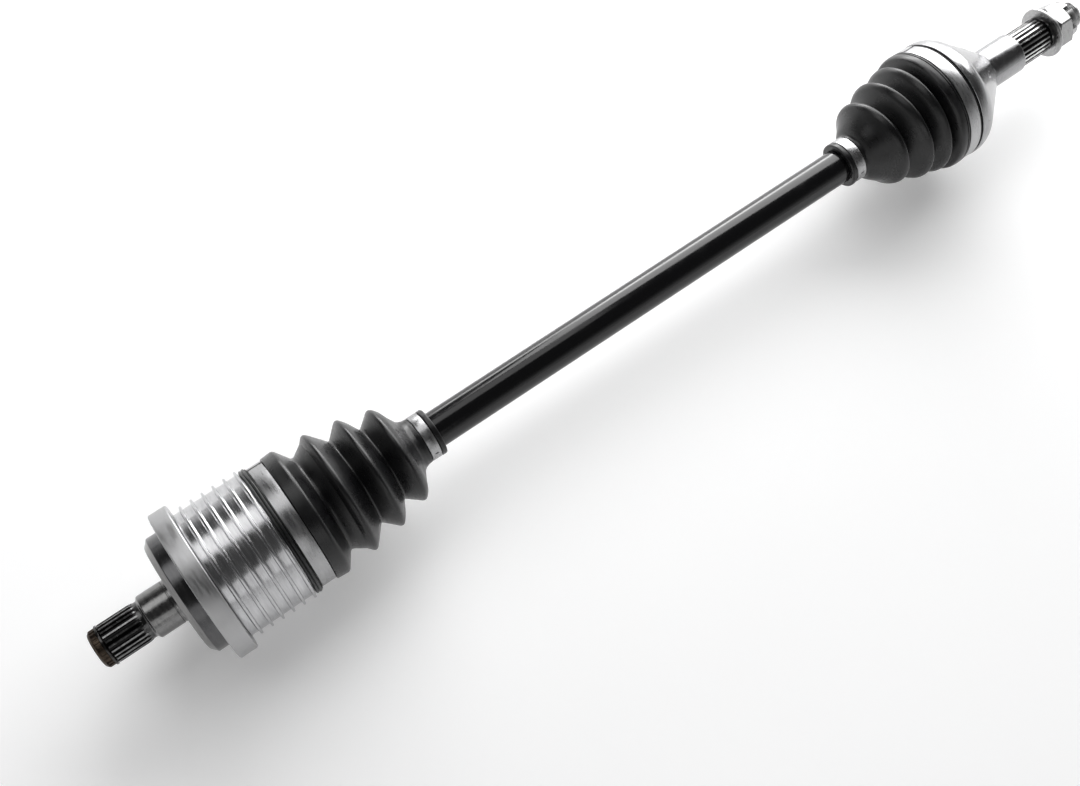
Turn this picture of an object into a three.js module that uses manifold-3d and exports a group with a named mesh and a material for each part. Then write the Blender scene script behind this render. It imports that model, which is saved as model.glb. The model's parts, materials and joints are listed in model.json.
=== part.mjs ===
// A CV axle: a solid bar with a plunging ball joint at the gearbox end and a fixed ball joint at the hub end.
// Millimetres. +X runs along the bar from the gearbox end to the hub end, +Z is up, and the origin is on the
// axis halfway between the two ends. Every piece is turned about the X axis unless its function says otherwise.
import * as THREE from "three";
import { mergeVertices } from "three/addons/utils/BufferGeometryUtils.js";
import Module from "manifold-3d";

const wasm = await Module();
wasm.setup();

// Driving dimensions.
const LENGTH = 798; // tip of the gearbox spline to the end of the hub thread
const GAP = 0.3; // left between pieces that touch
const FACETS = 24; // round a turned piece
const RING_FACETS = 48; // round the dust ring, the widest piece

const BAR_RADIUS = 12;
const BAR_END_RADIUS = 10.9; // the bar's ends, inside the inner races

const BALLS = 6;
const BALL_RADIUS = 7.94; // a 15.88 mm ball
const BALL_PITCH_RADIUS = 26.5;
const TRACK_RADIUS = 9; // leaves a ball room to shift sideways while the joint is bent
const RACE_RADIUS = 26.2;
const RACE_HALF_WIDTH = 11.5;
const CAGE_INSIDE_RADIUS = 26.9;
const CAGE_OUTSIDE_RADIUS = 32.9;
const CAGE_HALF_WIDTH = 14.5;
const CAVITY_RADIUS = 33.5;

const SPLINE_TEETH = 24;
const SPLINE_RADIUS = 13.1;
const SPLINE_ROOT_RADIUS = 11.7;
const SPLINE_CORE_RADIUS = 11.8; // just above the roots, so that teeth and core join cleanly

const INNER_CENTRE_X = -284; // middle of the plunging joint
const INNER_MOUTH_X = -257.5;
const INNER_FLOOR_X = -322;
const INNER_TIP_X = -LENGTH / 2;
const STOP_RING = { start: -262.5, end: -260.7, inside: 31.4, outside: 34.7 };
const INNER_NOSE_LENGTH = 5.4; // from the tip to the circlip groove
const INNER_NOSE_RADIUS = 12.6;
const CIRCLIP_GROOVE_WIDTH = 2;
const CIRCLIP_GROOVE_RADIUS = 11.1;
const INNER_SPLINE_END_X = -367;
const INNER_NECK_RADIUS = 12.4;
const INNER_STUB_RADIUS = 14.7;
const INNER_STEP_X = -344.3; // flat face behind the stub
const INNER_STEP_RADIUS = 40.4;
const INNER_SEAT_RADIUS = 39.6; // under the boot
const RING_START_X = -332.7;
const RING_END_X = -320.5;
const RING_RADIUS = 51.2;
const DRUM_RADIUS = 43.5;
const DRUM_END_X = -274.9;
const FIN_RADIUS = 46;
const FIN_WIDTH = 1.8;
const FIN_COUNT = 6;
const FIRST_FIN_X = -314.1;
const FIN_PITCH = 7.58;

const OUTER_CENTRE_X = 274; // middle of the fixed joint
const OUTER_MOUTH_X = 255.5;
const OUTER_SEAT_RADIUS = 40.8; // under the boot
const BELL_START_X = 268.5;
const BELL_RADIUS = 43.9;
const BELL_RIM_WIDTH = 2.8; // straight part of the rim, before the crown
const BELL_CROWN_RADIUS = 14; // rounding between the bell's rim and its cone
const BELL_CONE_DEGREES = 40;
const OUTER_STUB_RADIUS = 14.6;
const OUTER_STUB_END_X = 339.3;
const OUTER_SPLINE_END_X = 368.2;
const THREAD_RADIUS = 9.9; // M20 x 1.5
const NUT_FLATS = 30;
const NUT_HEIGHT = 12.4;
const CROWN_HEIGHT = 6;
const CROWN_RADIUS = 13.6;
const CROWN_SLOT_WIDTH = 4;
const THREAD_CLEARANCE = 0.4;
const WASHER_RADIUS = 18.6;
const WASHER_THICKNESS = 4;
const WASHER_COUNTERSINK_RADIUS = 12.4; // clears the end of the spline

const BOOT_WALL = 2.2;
const CREST = 0.9; // half the flat on a boot's ridge
const BAND_THICKNESS = 0.9; // of a boot clamp
const EAR_HEIGHT = 0.7;
const BAND_INSET = 0.5; // of a clamp from each end of its seat

// Where the clamps sit on the boots.
const INNER_LARGE_SEAT = { start: -269.6, end: -259, radius: 41.8 };
const INNER_SMALL_SEAT = { start: -170.2, end: -162.4, radius: 14.9 };
const OUTER_SMALL_SEAT = { start: 180.3, end: 188.5, radius: 14.9 };
const OUTER_LARGE_SEAT = { start: 257, end: 267, radius: 42.6 };
const INNER_BOOT_START_X = -274.5;
const INNER_BOOT_END_X = -158.6;
const OUTER_BOOT_START_X = 176.6;
const OUTER_BOOT_END_X = 267.4;

// --- Colours -------------------------------------------------------------------------------------------

const finish = (colour, roughness, metalness) =>
  new THREE.MeshStandardMaterial({ color: colour, roughness, metalness });
const blackPaint = finish(0x0b0b0c, 0.18, 0.1);
const brightSteel = finish(0xc4c4c6, 0.28, 1);
const clampSteel = finish(0xb4b4b6, 0.35, 1);
const oiledSteel = finish(0x3a3835, 0.4, 1);
const rubber = finish(0x1c1c1f, 0.55, 0);

// --- Shape helpers -------------------------------------------------------------------------------------

const radians = (degrees) => (degrees * Math.PI) / 180;

// Points on a circle about (x, r) in the outline's plane, from one angle to another; 0 degrees points to +X.
function arc(x, r, radius, from, to, steps) {
  const points = [];
  for (let i = 0; i <= steps; i++) {
    const angle = radians(from + ((to - from) * i) / steps);
    points.push([x + radius * Math.cos(angle), r + radius * Math.sin(angle)]);
  }
  return points;
}

// A solid turned about X from an outline of [x, radius] points that ends on the axis or closes on itself.
function turned(outline, facets = FACETS) {
  const points = outline.map(([x, r]) => new THREE.Vector2(r, x));
  if (THREE.ShapeUtils.area(points) < 0) points.reverse();
  return new THREE.LatheGeometry(points, facets).rotateZ(-Math.PI / 2);
}

// A ring: the outline's own first point closes it.
const turnedRing = (outline, facets) => turned([...outline, outline[0]], facets);

// A flat shape in the YZ plane, carried along X from start to end.
function extruded(shape, start, end) {
  const geometry = new THREE.ExtrudeGeometry(shape, { depth: end - start, bevelEnabled: false });
  return geometry.rotateY(Math.PI / 2).translate(start, 0, 0);
}

// A manifold-3d solid from a closed three.js geometry.
function toSolid(geometry) {
  const bare = new THREE.BufferGeometry();
  bare.setAttribute("position", geometry.getAttribute("position"));
  bare.setIndex(geometry.index);
  const merged = mergeVertices(bare, 1e-4);
  const index = merged.index.array;
  const triangles = [];
  for (let i = 0; i < index.length; i += 3) {
    const [a, b, c] = index.slice(i, i + 3);
    if (a !== b && b !== c && c !== a) triangles.push(a, b, c);
  }
  return new wasm.Manifold(
    new wasm.Mesh({
      numProp: 3,
      vertProperties: merged.getAttribute("position").array,
      triVerts: new Uint32Array(triangles),
    }),
  );
}

function toGeometry(solid) {
  const mesh = solid.getMesh();
  const geometry = new THREE.BufferGeometry();
  geometry.setAttribute("position", new THREE.BufferAttribute(mesh.vertProperties, 3));
  geometry.setIndex(new THREE.BufferAttribute(mesh.triVerts, 1));
  return geometry;
}

const cut = (geometry, ...cutters) =>
  toGeometry(cutters.reduce((left, cutter) => left.subtract(toSolid(cutter)), toSolid(geometry)));

const join = (geometry, ...others) =>
  toGeometry(others.reduce((whole, other) => whole.add(toSolid(other)), toSolid(geometry)));

// Angles of the balls round the X axis, from +Y; two balls lie on the Y axis, which the joints bend about.
const ballAngles = Array.from({ length: BALLS }, (_, i) => (i * 2 * Math.PI) / BALLS);

const ballCentre = (centreX, angle) =>
  new THREE.Vector3(centreX, BALL_PITCH_RADIUS * Math.cos(angle), BALL_PITCH_RADIUS * Math.sin(angle));

// --- Pieces that both joints have ----------------------------------------------------------------------

// External spline teeth between two stations.
function splineTeeth(start, end) {
  const pitch = (2 * Math.PI) / SPLINE_TEETH;
  const shape = new THREE.Shape();
  for (let tooth = 0; tooth < SPLINE_TEETH; tooth++) {
    for (const [share, radius] of [
      [-0.27, SPLINE_ROOT_RADIUS],
      [-0.15, SPLINE_RADIUS],
      [0.15, SPLINE_RADIUS],
      [0.27, SPLINE_ROOT_RADIUS],
    ]) {
      const angle = (tooth + share) * pitch;
      const corner = [radius * Math.cos(angle), radius * Math.sin(angle)];
      if (tooth === 0 && share === -0.27) shape.moveTo(...corner);
      else shape.lineTo(...corner);
    }
  }
  return extruded(shape, start, end);
}

// The star-shaped inner race. Its tracks are arcs about the joint's centre or straight along the axis.
function innerRace(centreX, trackCutters) {
  const edge = Math.asin(RACE_HALF_WIDTH / RACE_RADIUS) * (180 / Math.PI);
  const bore = BAR_END_RADIUS + GAP;
  const outline = [
    [centreX - RACE_HALF_WIDTH, bore],
    [centreX + RACE_HALF_WIDTH, bore],
    ...arc(centreX, 0, RACE_RADIUS, 90 - edge, 90 + edge, 5),
  ];
  return cut(turnedRing(outline), ...trackCutters);
}

function cage(centreX) {
  const outside = Math.asin(CAGE_HALF_WIDTH / CAGE_OUTSIDE_RADIUS) * (180 / Math.PI);
  const inside = Math.asin(CAGE_HALF_WIDTH / CAGE_INSIDE_RADIUS) * (180 / Math.PI);
  const outline = [
    ...arc(centreX, 0, CAGE_OUTSIDE_RADIUS, 90 - outside, 90 + outside, 5),
    ...arc(centreX, 0, CAGE_INSIDE_RADIUS, 90 + inside, 90 - inside, 5),
  ];
  const windowLength = 2 * (BALL_RADIUS + GAP);
  const windowWidth = windowLength + 2;
  const windows = ballAngles.map((angle) => {
    const box = new THREE.BoxGeometry(windowLength, 20, windowWidth);
    return box.translate(0, BALL_PITCH_RADIUS + 4, 0).rotateX(angle).translate(centreX, 0, 0);
  });
  return cut(turnedRing(outline), ...windows);
}

function ball(centreX, angle) {
  const geometry = new THREE.IcosahedronGeometry(BALL_RADIUS, 1);
  const { x, y, z } = ballCentre(centreX, angle);
  return geometry.translate(x, y, z);
}

// A split ring: a flat C with its opening at the given angle from +Z, towards +Y.
function splitRing(start, end, inside, outside, openingAt, openingDegrees = 24) {
  const half = radians(openingDegrees / 2);
  const middle = radians(openingAt);
  const steps = 18;
  const along = (i) => middle + half + ((2 * Math.PI - 2 * half) * i) / steps;
  const shape = new THREE.Shape();
  for (let i = 0; i <= steps; i++) {
    const corner = [-outside * Math.cos(along(i)), outside * Math.sin(along(i))];
    if (i === 0) shape.moveTo(...corner);
    else shape.lineTo(...corner);
  }
  for (let i = steps; i >= 0; i--) {
    shape.lineTo(-inside * Math.cos(along(i)), inside * Math.sin(along(i)));
  }
  return extruded(shape, start, end);
}

// A band clamp on its seat, with a folded ear that stands up at the given angle from +Z, towards +Y.
function bandClamp(seat, earAt) {
  const start = seat.start + BAND_INSET;
  const end = seat.end - BAND_INSET;
  const inside = seat.radius + GAP;
  const outside = inside + BAND_THICKNESS;
  const band = turnedRing([
    [start, inside],
    [end, inside],
    [end, outside],
    [start, outside],
  ]);
  const width = end - start;
  const ear = new THREE.BoxGeometry(0.62 * width, 0.8 * width, 2 * EAR_HEIGHT);
  ear.translate((start + end) / 2, 0, outside).rotateX(-radians(earAt));
  return join(band, ear);
}

// The two sides of a bellows wall. Each fold is [x, radius]; a ridge's crest is rounded by two points.
function bellows(folds) {
  const outside = folds.flatMap(([x, r], i) => {
    const isRidge = i > 0 && i < folds.length - 1 && r > folds[i - 1][1] && r > folds[i + 1][1];
    return isRidge ? [[x - CREST, r], [x + CREST, r]] : [[x, r]];
  });
  const inside = folds.map(([x, r]) => [x, r - BOOT_WALL]).reverse();
  return { outside, inside };
}

// --- Gearbox end: the plunging joint -------------------------------------------------------------------

function innerHousing() {
  const grooveStart = INNER_TIP_X + INNER_NOSE_LENGTH;
  const grooveEnd = grooveStart + CIRCLIP_GROOVE_WIDTH;
  const fins = [];
  for (let i = 0; i < FIN_COUNT; i++) {
    const x = FIRST_FIN_X + i * FIN_PITCH;
    fins.push([x - FIN_WIDTH / 2, DRUM_RADIUS]);
    fins.push([x - FIN_WIDTH / 2, FIN_RADIUS]);
    fins.push([x + FIN_WIDTH / 2, FIN_RADIUS]);
    fins.push([x + FIN_WIDTH / 2, DRUM_RADIUS]);
  }
  const stopGrooveRadius = STOP_RING.outside + 0.4;
  const outline = [
    [INNER_TIP_X, 0],
    [INNER_TIP_X, INNER_NOSE_RADIUS - 1.7],
    [INNER_TIP_X + 1.7, INNER_NOSE_RADIUS],
    [grooveStart, INNER_NOSE_RADIUS],
    [grooveStart, CIRCLIP_GROOVE_RADIUS],
    [grooveEnd, CIRCLIP_GROOVE_RADIUS],
    [grooveEnd, SPLINE_CORE_RADIUS],
    [INNER_SPLINE_END_X - 1.5, SPLINE_CORE_RADIUS],
    [INNER_SPLINE_END_X, INNER_NECK_RADIUS],
    [INNER_SPLINE_END_X + 1.6, INNER_NECK_RADIUS],
    [INNER_SPLINE_END_X + 3.2, INNER_STUB_RADIUS],
    [INNER_STEP_X, INNER_STUB_RADIUS],
    [INNER_STEP_X, INNER_STEP_RADIUS - 4.2],
    [INNER_STEP_X + 3.7, INNER_STEP_RADIUS],
    [RING_END_X + GAP, INNER_STEP_RADIUS],
    [RING_END_X + GAP, DRUM_RADIUS],
    ...fins,
    [DRUM_END_X, DRUM_RADIUS],
    [DRUM_END_X, INNER_SEAT_RADIUS],
    [INNER_MOUTH_X, INNER_SEAT_RADIUS],
    [INNER_MOUTH_X, CAVITY_RADIUS],
    [STOP_RING.end + GAP, CAVITY_RADIUS],
    [STOP_RING.end + GAP, stopGrooveRadius],
    [STOP_RING.start - GAP, stopGrooveRadius],
    [STOP_RING.start - GAP, CAVITY_RADIUS],
    [INNER_FLOOR_X, CAVITY_RADIUS],
    [INNER_FLOOR_X, 0],
  ];
  const body = join(turned(outline), splineTeeth(grooveEnd, INNER_SPLINE_END_X - 0.4));
  return cut(body, ...straightTracks(INNER_FLOOR_X + 4, INNER_MOUTH_X + 2));
}

// The circlip in the groove behind the nose, open low down on the +Y side.
function stubCirclip() {
  const start = INNER_TIP_X + INNER_NOSE_LENGTH + GAP;
  const end = start + CIRCLIP_GROOVE_WIDTH - 2 * GAP;
  return splitRing(start, end, CIRCLIP_GROOVE_RADIUS + GAP, SPLINE_RADIUS + 0.4, 150);
}

// Straight ball tracks along the axis, as cutters.
function straightTracks(start, end) {
  return ballAngles.map((angle) => {
    const geometry = new THREE.CylinderGeometry(TRACK_RADIUS, TRACK_RADIUS, end - start, 12);
    geometry.rotateZ(Math.PI / 2);
    const { x, y, z } = ballCentre((start + end) / 2, angle);
    return geometry.translate(x, y, z);
  });
}

function innerDustRing() {
  const bore = INNER_STEP_RADIUS + GAP;
  const edge = 0.7;
  const outline = [
    [RING_START_X, bore],
    [RING_END_X, bore],
    [RING_END_X, RING_RADIUS - edge],
    [RING_END_X - edge, RING_RADIUS],
    [RING_START_X + edge, RING_RADIUS],
    [RING_START_X, RING_RADIUS - edge],
  ];
  return turnedRing(outline, RING_FACETS);
}

function innerBoot() {
  const seatInside = INNER_SEAT_RADIUS + GAP;
  const barInside = BAR_RADIUS + GAP;
  const wall = bellows([
    [-250, 44],
    [-242.3, 33.4],
    [-228.9, 41.7],
    [-217.8, 30.8],
    [-206.5, 38.3],
    [-197.9, 26.4],
    [-186, 32.8],
    [-180.4, 24.2],
    [-177, 18.6],
  ]);
  const outside = [
    [INNER_BOOT_START_X, seatInside],
    [INNER_BOOT_START_X, 44],
    [INNER_BOOT_START_X + 0.6, 44.6],
    [INNER_BOOT_START_X + 4.1, 44.6],
    [INNER_LARGE_SEAT.start, INNER_LARGE_SEAT.radius],
    [INNER_LARGE_SEAT.end, INNER_LARGE_SEAT.radius],
    [-258.4, 43.6],
    [-257.6, 44],
    ...wall.outside,
    [-174, 17],
    [INNER_SMALL_SEAT.start, 16.4],
    [INNER_SMALL_SEAT.start, INNER_SMALL_SEAT.radius],
    [INNER_SMALL_SEAT.end, INNER_SMALL_SEAT.radius],
    [-161.8, 16.2],
    [-159.4, 16.2],
    [INNER_BOOT_END_X, 15.4],
    [INNER_BOOT_END_X, barInside],
  ];
  const inside = [
    [-174, barInside],
    ...wall.inside,
    [-256.6, seatInside],
  ];
  return turnedRing([...outside, ...inside]);
}

// --- Hub end: the fixed joint --------------------------------------------------------------------------

// Ball tracks that are arcs about the joint's centre: one whole ring cuts two opposite tracks.
function arcTracks() {
  return ballAngles.slice(0, BALLS / 2).map((angle) => {
    const geometry = new THREE.TorusGeometry(BALL_PITCH_RADIUS, TRACK_RADIUS, 12, 24);
    return geometry.rotateX(angle).translate(OUTER_CENTRE_X, 0, 0);
  });
}

function outerHousing() {
  const crownX = BELL_START_X + BELL_RIM_WIDTH;
  const cone = radians(BELL_CONE_DEGREES);
  const crown = arc(crownX, BELL_RADIUS - BELL_CROWN_RADIUS, BELL_CROWN_RADIUS, 90, 90 - BELL_CONE_DEGREES, 5);
  const [coneX, coneR] = crown[crown.length - 1];
  const coneEndRadius = OUTER_STUB_RADIUS + 1.4;
  const coneEndX = coneX + (coneR - coneEndRadius) / Math.tan(cone);
  const threadEnd = LENGTH / 2;
  const outline = [
    [OUTER_MOUTH_X, 0],
    [OUTER_MOUTH_X, OUTER_SEAT_RADIUS - 1],
    [OUTER_MOUTH_X + 1, OUTER_SEAT_RADIUS],
    [BELL_START_X, OUTER_SEAT_RADIUS],
    [BELL_START_X, BELL_RADIUS - 0.6],
    [BELL_START_X + 0.6, BELL_RADIUS],
    ...crown,
    [coneEndX, coneEndRadius],
    [coneEndX + 1.2, OUTER_STUB_RADIUS],
    [OUTER_STUB_END_X - 0.6, OUTER_STUB_RADIUS],
    [OUTER_STUB_END_X, OUTER_STUB_RADIUS - 0.6],
    [OUTER_STUB_END_X, SPLINE_CORE_RADIUS],
    [OUTER_SPLINE_END_X, SPLINE_CORE_RADIUS],
    [OUTER_SPLINE_END_X, THREAD_RADIUS],
    [threadEnd - 1.4, THREAD_RADIUS],
    [threadEnd, THREAD_RADIUS - 1.4],
    [threadEnd, 0],
  ];
  const body = join(turned(outline), splineTeeth(OUTER_STUB_END_X - 0.5, OUTER_SPLINE_END_X - 2.4));
  const cavity = new THREE.SphereGeometry(CAVITY_RADIUS, FACETS, 14).rotateZ(Math.PI / 2);
  cavity.translate(OUTER_CENTRE_X, 0, 0);
  const flare = turned([
    [OUTER_MOUTH_X - 1, 0],
    [OUTER_MOUTH_X - 1, 34.5],
    [OUTER_MOUTH_X + 5.5, 27],
    [OUTER_MOUTH_X + 5.5, 0],
  ]);
  return cut(body, cavity, flare, ...arcTracks());
}

function outerBoot() {
  const seatInside = OUTER_SEAT_RADIUS + GAP;
  const barInside = BAR_RADIUS + GAP;
  const wall = bellows([
    [194.2, 19.4],
    [199.6, 26.6],
    [206.2, 31.8],
    [213.2, 26],
    [221.6, 37.5],
    [229.2, 31],
    [237, 41.1],
    [243.4, 35.4],
    [248.8, 43.2],
  ]);
  const outside = [
    [OUTER_BOOT_START_X, barInside],
    [OUTER_BOOT_START_X, 15.2],
    [OUTER_BOOT_START_X + 0.9, 16.1],
    [OUTER_BOOT_START_X + 3, 16.1],
    [OUTER_SMALL_SEAT.start, OUTER_SMALL_SEAT.radius],
    [OUTER_SMALL_SEAT.end, OUTER_SMALL_SEAT.radius],
    [OUTER_SMALL_SEAT.end, 16.3],
    [191, 16.8],
    ...wall.outside,
    [255.8, 43.6],
    [OUTER_LARGE_SEAT.start, OUTER_LARGE_SEAT.radius],
    [OUTER_LARGE_SEAT.end, OUTER_LARGE_SEAT.radius],
    [OUTER_BOOT_END_X, seatInside],
  ];
  const inside = [
    [254.8, seatInside],
    ...wall.inside,
    [191, barInside],
  ];
  return turnedRing([...outside, ...inside]);
}

function hubWasher() {
  const start = OUTER_SPLINE_END_X + GAP;
  const end = start + WASHER_THICKNESS;
  const bore = THREAD_RADIUS + 2 * GAP;
  return turnedRing([
    [start + WASHER_COUNTERSINK_RADIUS - bore, bore],
    [start, WASHER_COUNTERSINK_RADIUS],
    [start, WASHER_RADIUS - 0.8],
    [start + 0.8, WASHER_RADIUS],
    [start + 2, WASHER_RADIUS],
    [end, WASHER_RADIUS - 2],
    [end, bore],
  ]);
}

// A castle nut: a hexagon with turned chamfers, a round crown with six slots, and a plain bore.
function hubNut() {
  const start = OUTER_SPLINE_END_X + 2 * GAP + WASHER_THICKNESS;
  const shoulder = start + NUT_HEIGHT;
  const end = shoulder + CROWN_HEIGHT;
  const corner = NUT_FLATS / 2 / Math.cos(Math.PI / 6);
  const hexagon = new THREE.Shape();
  for (let i = 0; i < 6; i++) {
    const angle = (i * Math.PI) / 3;
    const point = [corner * Math.cos(angle), corner * Math.sin(angle)];
    if (i === 0) hexagon.moveTo(...point);
    else hexagon.lineTo(...point);
  }
  const envelope = turned([
    [start - 1, 0],
    [start - 1, NUT_FLATS / 2 - 1.3],
    [start + 1.6, corner + 0.2],
    [shoulder - 1.8, corner + 0.2],
    [shoulder + 1, NUT_FLATS / 2 - 1.6],
    [shoulder + 1, 0],
  ]);
  const hexagonal = toGeometry(toSolid(extruded(hexagon, start, shoulder)).intersect(toSolid(envelope)));
  const crown = turned([
    [shoulder - 2, 0],
    [shoulder - 2, CROWN_RADIUS],
    [end - 0.8, CROWN_RADIUS],
    [end, CROWN_RADIUS - 0.8],
    [end, 0],
  ]);
  const slots = [0, 1, 2].map((i) => {
    const slot = new THREE.BoxGeometry(CROWN_HEIGHT, CROWN_SLOT_WIDTH, 4 * CROWN_RADIUS);
    return slot.translate(end - CROWN_HEIGHT / 2 + 0.6, 0, 0).rotateX((i * Math.PI) / 3);
  });
  const boreRadius = THREAD_RADIUS + THREAD_CLEARANCE;
  const bore = new THREE.CylinderGeometry(boreRadius, boreRadius, end - start + 4);
  bore.rotateZ(Math.PI / 2).translate((start + end) / 2, 0, 0);
  return cut(join(hexagonal, crown), ...slots, bore);
}

// --- The bar -------------------------------------------------------------------------------------------

function axleBar() {
  // Half of the bar's outline at one joint: the shoulder that the race sits against, then the circlip groove.
  const end = (centreX, outward) => {
    const at = (distance) => centreX + outward * distance;
    return [
      [at(-RACE_HALF_WIDTH - GAP), BAR_RADIUS],
      [at(-RACE_HALF_WIDTH - GAP), BAR_END_RADIUS],
      [at(RACE_HALF_WIDTH + 0.1), BAR_END_RADIUS],
      [at(RACE_HALF_WIDTH + 0.1), BAR_END_RADIUS - 1.3],
      [at(RACE_HALF_WIDTH + 1.8), BAR_END_RADIUS - 1.3],
      [at(RACE_HALF_WIDTH + 1.8), BAR_END_RADIUS],
      [at(RACE_HALF_WIDTH + 3), BAR_END_RADIUS - 0.8],
      [at(RACE_HALF_WIDTH + 3), 0],
    ];
  };
  return turned([...end(INNER_CENTRE_X, -1).reverse(), ...end(OUTER_CENTRE_X, 1)]);
}

// A circlip that holds a race on the bar, on the far side of the race.
function raceCirclip(centreX, outward) {
  const near = centreX + outward * (RACE_HALF_WIDTH + GAP);
  const far = centreX + outward * (RACE_HALF_WIDTH + GAP + 1.2);
  return splitRing(Math.min(near, far), Math.max(near, far), BAR_END_RADIUS - 1, BAR_END_RADIUS + 1.4, 180);
}

// --- The axle ------------------------------------------------------------------------------------------

const axle = new THREE.Group();

function add(name, geometry, material) {
  const mesh = new THREE.Mesh(geometry, material);
  mesh.name = name;
  axle.add(mesh);
}

add("axle_bar", axleBar(), blackPaint);

add("inner_housing", innerHousing(), brightSteel);
add("inner_dust_ring", innerDustRing(), brightSteel);
add("inner_stub_circlip", stubCirclip(), oiledSteel);
const raceReach = RACE_HALF_WIDTH + 4;
const raceTracks = straightTracks(INNER_CENTRE_X - raceReach, INNER_CENTRE_X + raceReach);
add("inner_race", innerRace(INNER_CENTRE_X, raceTracks), oiledSteel);
add("inner_cage", cage(INNER_CENTRE_X), oiledSteel);
ballAngles.forEach((angle, i) => add(`inner_ball_${i + 1}`, ball(INNER_CENTRE_X, angle), brightSteel));
add("inner_race_circlip", raceCirclip(INNER_CENTRE_X, -1), oiledSteel);
add("inner_stop_ring", splitRing(STOP_RING.start, STOP_RING.end, STOP_RING.inside, STOP_RING.outside, 0), oiledSteel);
add("inner_boot", innerBoot(), rubber);
add("inner_boot_large_clamp", bandClamp(INNER_LARGE_SEAT, 205), clampSteel);
add("inner_boot_small_clamp", bandClamp(INNER_SMALL_SEAT, 200), clampSteel);

add("outer_housing", outerHousing(), brightSteel);
add("outer_race", innerRace(OUTER_CENTRE_X, arcTracks()), oiledSteel);
add("outer_cage", cage(OUTER_CENTRE_X), oiledSteel);
ballAngles.forEach((angle, i) => add(`outer_ball_${i + 1}`, ball(OUTER_CENTRE_X, angle), brightSteel));
add("outer_race_circlip", raceCirclip(OUTER_CENTRE_X, 1), oiledSteel);
add("outer_boot", outerBoot(), rubber);
add("outer_boot_large_clamp", bandClamp(OUTER_LARGE_SEAT, 200), clampSteel);
add("outer_boot_small_clamp", bandClamp(OUTER_SMALL_SEAT, 200), clampSteel);
add("hub_washer", hubWasher(), brightSteel);
add("hub_nut", hubNut(), brightSteel);

export default axle;
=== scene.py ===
"""The looks of a CV axle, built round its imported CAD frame.

+X runs along the bar from the gearbox end to the hub end, +Z is up, and the origin is on the axis, halfway.
Outlines are in millimetres and become metres in turned_point(); lights, camera and floor are in metres.
"""

import json
import math

import bmesh
import bpy
from mathutils import Matrix, Vector


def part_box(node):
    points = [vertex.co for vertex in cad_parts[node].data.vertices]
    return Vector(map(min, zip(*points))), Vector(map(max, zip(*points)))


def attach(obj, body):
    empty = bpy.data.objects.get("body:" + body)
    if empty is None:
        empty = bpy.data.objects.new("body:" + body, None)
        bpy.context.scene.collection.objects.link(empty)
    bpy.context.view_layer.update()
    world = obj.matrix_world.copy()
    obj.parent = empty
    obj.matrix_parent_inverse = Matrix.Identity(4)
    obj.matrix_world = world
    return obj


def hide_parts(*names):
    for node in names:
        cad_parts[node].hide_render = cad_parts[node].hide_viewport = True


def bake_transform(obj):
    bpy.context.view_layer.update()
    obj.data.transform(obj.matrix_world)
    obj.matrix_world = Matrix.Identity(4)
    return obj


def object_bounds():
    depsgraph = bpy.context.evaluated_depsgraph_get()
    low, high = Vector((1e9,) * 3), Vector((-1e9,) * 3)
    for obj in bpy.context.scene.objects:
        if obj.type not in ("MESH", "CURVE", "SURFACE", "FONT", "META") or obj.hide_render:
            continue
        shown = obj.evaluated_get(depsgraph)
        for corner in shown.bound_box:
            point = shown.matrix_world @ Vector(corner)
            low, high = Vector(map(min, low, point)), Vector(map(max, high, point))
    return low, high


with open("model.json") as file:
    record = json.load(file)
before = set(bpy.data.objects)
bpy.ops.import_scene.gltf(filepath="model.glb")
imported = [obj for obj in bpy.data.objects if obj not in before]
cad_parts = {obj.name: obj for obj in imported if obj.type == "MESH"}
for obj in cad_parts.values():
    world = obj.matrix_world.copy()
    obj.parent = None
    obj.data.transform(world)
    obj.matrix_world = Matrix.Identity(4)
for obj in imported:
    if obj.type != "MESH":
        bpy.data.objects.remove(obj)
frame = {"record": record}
CAD_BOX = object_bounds()

MM = 0.001
TURN = 2 * math.pi
SEGMENTS = 192  # round a turned piece
SHARP_DEGREES = 32  # edges that turn by more than this aren't shaded smooth
BALLS = 6
BALL_RADIUS = 7.94
BALL_PITCH_RADIUS = 26.5
TRACK_RADIUS = 9.0
CAVITY_RADIUS = 33.5
RACE_RADIUS = 26.2
RACE_BORE = 11.3
CAGE_OUTSIDE = 32.9
CAGE_INSIDE = 26.9
SPLINE_TEETH = 24
SPLINE_RADIUS = 13.1
SPLINE_ROOT_RADIUS = 11.75
TOOTH_TOP = 0.15  # half of a tooth's flat top, as a share of the pitch
TOOTH_FLANK = 0.12  # the flank beside it, as a share of the pitch
BOOT_WALL = 2.2
GAP = 0.3  # between the drum and its dust ring


def span(node):
    """Where a CAD node starts and ends along X, and its radius, in millimetres."""
    low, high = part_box(node)
    return low.x / MM, high.x / MM, high.z / MM


TIP_X = span("inner_housing")[0]
INNER_MOUTH_X = span("inner_housing")[1]
OUTER_MOUTH_X, THREAD_END_X = span("outer_housing")[:2]
INNER_CENTRE_X = sum(span("inner_race")[:2]) / 2
OUTER_CENTRE_X = sum(span("outer_race")[:2]) / 2


# --- Outlines ------------------------------------------------------------------------------------------


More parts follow.
